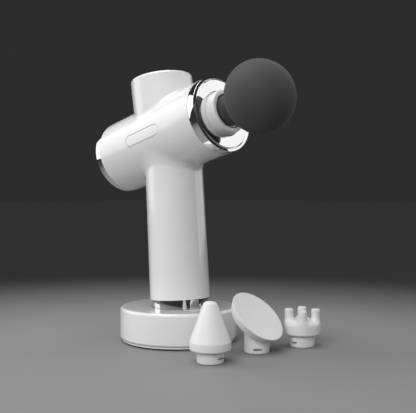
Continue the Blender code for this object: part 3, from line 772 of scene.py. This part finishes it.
def massage_ball(looks):
    """Slightly flattened ball with a bore for the neck and a soft lip round it."""
    start = math.asin(BALL_BORE_R / BALL_R)
    count = 72
    angles = [start + (math.pi - start) * i / count for i in range(count + 1)]
    skin = [(BALL_R * math.sin(a), BALL_X - BALL_HALF_DEPTH * math.cos(a)) for a in angles[:-1]]
    profile = [(0.0, BALL_BORE_END), (BALL_BORE_R, BALL_BORE_END), (BALL_BORE_R, BALL_MOUTH)]
    profile += [*skin, (0.0, BALL_X + BALL_HALF_DEPTH)]
    bm = turned(profile, BARREL, 128)
    ball = piece("foam_ball", bm, looks["grey_foam"], "ball_head", ["massage_ball"], 50.0)
    profile = rounded([(0, NECK_BACK), (STEM_R, NECK_BACK, 0.8), (STEM_R, NECK_STEP, 0),
                       (NECK_R, NECK_STEP, 0.4), (NECK_R, NECK_FRONT, 0), (0, NECK_FRONT)], 0.3, 4)
    piece("neck", turned(profile, BARREL), looks["dark_plastic"], "ball_head", ["ball_stem"])


def stem_slot(at, angle, height):
    """The small keying slot low on a spare head's stem, facing an angle in degrees."""
    facing = Matrix.Translation((*at[:2], height)) @ Matrix.Rotation(math.radians(angle), 4, "Z")
    return box((4.5, -3.0, -0.7), (12.0, 3.0, 0.7), facing)


def bullet_head(looks):
    """Blunt cone on a flange."""
    profile = [(0, 0), (STEM_R, 0, STEM_EDGE), (STEM_R, BULLET_LOW, 0.1), (BULLET_R, BULLET_LOW, 1.5)]
    profile += [(BULLET_R, BULLET_CONE_FROM, 0.35), (BULLET_TIP_R, BULLET_TIP_FROM, 1.9), (0, BULLET_TOP)]
    cone = turned(rounded(profile, 0.3, 8), Matrix.Translation(BULLET_AT))
    head = carved(cone, [("DIFFERENCE", stem_slot(BULLET_AT, BULLET_SLOT, 3.6))])
    piece_of("bullet", head, looks["satin_white"], "bullet_head", ["bullet_head"])


def disc_head(looks):
    """Thick round pad, narrower at its back and slightly dished, set at a slant on its stem."""
    slant = Matrix.Translation(PAD_AT) @ Matrix.Rotation(math.radians(PAD_TURN), 4, "Z")
    slant = slant @ Matrix.Rotation(math.radians(PAD_TILT), 4, "Y")
    pad = rounded([(0, -PAD_DEPTH), (PAD_BACK_R, -PAD_DEPTH, 0.9), (PAD_R, 0.0, 0.7), (20.4, -0.08, 0.6),
                   (10.0, -1.05, 4.0), (0, -PAD_DISH)], 0.3, 8)
    stem = rounded([(0, 0), (STEM_R, 0, STEM_EDGE), (STEM_R, 36.0, 0), (0, 36.0)], 0.3, 6)
    steps = [
        ("DIFFERENCE", turned([(0, -3.0), (60.0, -3.0), (60.0, 60.0), (0, 60.0)], slant, 24)),
        ("UNION", turned(pad, slant)),
        ("DIFFERENCE", stem_slot(DISC_AT, DISC_SLOT, 3.2)),
    ]
    head = carved(turned(stem, Matrix.Translation(DISC_AT)), steps)
    piece_of("slanted_disc", head, looks["satin_white"], "disc_head", ["disc_head"])


def rounded_rod(p, radius, low, high, edge):
    """Distance to an upright cylinder with rounded edges."""
    side = np.hypot(p[:, 0], p[:, 1]) - radius
    end = np.maximum(low - p[:, 2], p[:, 2] - high)
    corner = np.maximum(np.stack([side + edge, end + edge]), 0.0)
    return np.sqrt((corner ** 2).sum(axis=0)) + np.minimum(np.maximum(side, end) + edge, 0.0) - edge


def peg_places():
    angles = [math.radians(CLAW_TURN + 90.0 * i) for i in range(4)]
    return [(PEG_CIRCLE_R * math.cos(a), PEG_CIRCLE_R * math.sin(a), 0.0) for a in angles]


def claw_distance(points):
    """Distance to the claw head: a round body, four pegs run into it and the stem below."""
    p = points - np.array(CLAW_AT)
    base_ring = rounded_rod(p, CLAW_R, CLAW_LOW, 16.0, 1.3)
    body = np.minimum(base_ring, rounded_rod(p, CLAW_R, 11.0, CLAW_VALLEY, 4.6))
    for place in peg_places():
        peg = rounded_rod(p - np.array(place), PEG_R, PEG_FOOT, CLAW_TOP, 1.5)
        body = round_union(body, peg, PEG_FILLET)
    side = np.hypot(p[:, 0], p[:, 1]) - CLAW_R
    body = -round_union(-body, -side, 0.8)
    return np.minimum(body, rounded_rod(p, STEM_R, 0.0, 12.0, 0.9))


def claw_head(looks):
    """Four rounded pegs on a short round body, with U-shaped valleys between them."""
    at = Matrix.Translation(CLAW_AT)
    parts = [turned([(0, 0), (STEM_R, 0), (STEM_R, 12.0), (0, 12.0)], at),
             turned([(0, CLAW_LOW), (CLAW_R, CLAW_LOW), (CLAW_R, CLAW_VALLEY), (0, CLAW_VALLEY)], at)]
    for place in peg_places():
        foot = at @ Matrix.Translation(place)
        parts.append(turned([(0, PEG_FOOT), (PEG_R, PEG_FOOT), (PEG_R, CLAW_TOP), (0, CLAW_TOP)], foot, 48))
    skin = relaxed(remeshed(joined(*parts), 0.5), claw_distance)
    head = carved(bm_of(skin), [("DIFFERENCE", stem_slot(CLAW_AT, CLAW_SLOT, 3.6))])
    obj = piece_of("four_peg_claw", head, looks["satin_white"], "claw_head", ["claw_head"])
    smooth_normals(obj.data, claw_distance)


# ---------------------------------------------------------------- room


def room():
    """A wide floor, which rides on no body."""
    floor = bpy.data.meshes.new("floor")
    bm = bmesh.new()
    bmesh.ops.create_grid(bm, x_segments=1, y_segments=1, size=6.0)
    bm.to_mesh(floor)
    bm.free()
    obj = bpy.data.objects.new("floor", floor)
    bpy.context.scene.collection.objects.link(obj)
    floor.materials.append(floor_look())


def floor_look():
    """Pale matt floor with a painted pool of light round the object: further out its colour is painted darker to
    black, and a painted glow of the backdrop's dark grey takes over.
    """
    material = base("floor", 0.6)
    nodes, links = nodes_of(material)
    place = nodes.new("ShaderNodeTexCoord")
    length = nodes.new("ShaderNodeVectorMath")
    length.operation = "DISTANCE"
    length.inputs[1].default_value = FLOOR_CENTRE
    links.new(place.outputs["Object"], length.inputs[0])
    # Painted fall-off of light: the floor's colour runs from pale near the object to black further out.
    painted_falloff = nodes.new("ShaderNodeMapRange")
    painted_falloff.interpolation_type = "SMOOTHSTEP"
    painted_falloff.inputs["From Min"].default_value = FLOOR_PALE_TO
    painted_falloff.inputs["From Max"].default_value = FLOOR_DARK_FROM
    links.new(length.outputs["Value"], painted_falloff.inputs["Value"])
    link_colour(material, painted_falloff.outputs["Result"], FLOOR_PALE, (0.0, 0.0, 0.0))
    # Painted glow: where the floor's colour has gone black, the floor emits the backdrop's dark grey.
    painted_backdrop_glow = nodes.new("ShaderNodeMix")
    painted_backdrop_glow.data_type = "RGBA"
    painted_backdrop_glow.inputs["A"].default_value = (0.0, 0.0, 0.0, 1.0)
    painted_backdrop_glow.inputs["B"].default_value = (*BACKDROP, 1.0)
    shader = nodes["Principled BSDF"]
    links.new(painted_falloff.outputs["Result"], painted_backdrop_glow.inputs["Factor"])
    links.new(painted_backdrop_glow.outputs["Result"], shader.inputs["Emission Color"])
    shader.inputs["Emission Strength"].default_value = 1.0
    shader.inputs["Specular IOR Level"].default_value = 0.1
    return material


def area_light(name, at, size, power):
    """A rectangular lamp turned towards the lit point."""
    light = bpy.data.lights.new(name, "AREA")
    light.shape = "RECTANGLE"
    light.size, light.size_y = size
    light.energy = power
    obj = bpy.data.objects.new(name, light)
    bpy.context.scene.collection.objects.link(obj)
    obj.location = at
    obj.rotation_euler = (Vector(LIT_POINT) - Vector(at)).to_track_quat("-Z", "Y").to_euler()
    return obj


def lights():
    world = bpy.data.worlds.new("studio")
    world.use_nodes = True
    world.node_tree.nodes["Background"].inputs["Color"].default_value = (*BACKDROP, 1.0)
    world.node_tree.nodes["Background"].inputs["Strength"].default_value = 1.0
    bpy.context.scene.world = world
    for name, (at, size, power) in SOFT_BOXES.items():
        area_light(name, at, size, power)
    for name, (at, power) in FILLS.items():
        area_light(name, at, FILL_SIZE, power).visible_glossy = False
    bpy.context.scene.view_settings.view_transform = "Standard"


def camera():
    """The viewpoint: place, heading and pitch, with its lens."""
    data = bpy.data.cameras.new("camera")
    data.sensor_width = 36.0
    data.lens = CAMERA_LENS
    obj = bpy.data.objects.new("camera", data)
    bpy.context.scene.collection.objects.link(obj)
    obj.location = Vector(CAMERA_AT) * MM
    obj.rotation_euler = (math.radians(90 - CAMERA_DOWN), 0.0, math.radians(CAMERA_HEADING))
    bpy.context.scene.camera = obj


# ---------------------------------------------------------------- the object


def cad_looks(looks):
    """Gives every CAD node that stays the procedural material of its slot."""
    slots = {part["node"]: part["material_slot"] for part in frame["record"]["subparts"]}
    for node, obj in frame["nodes"].items():
        obj.data.materials.clear()
        obj.data.materials.append(looks[slots[node]])


looks = make_materials()
camera()
room()
lights()
cad_looks(looks)
housing(looks)
power_key(looks)
barrel_ends(looks)
plunger(looks)
handle_end(looks)
dock(looks)
massage_ball(looks)
bullet_head(looks)
disc_head(looks)
claw_head(looks)
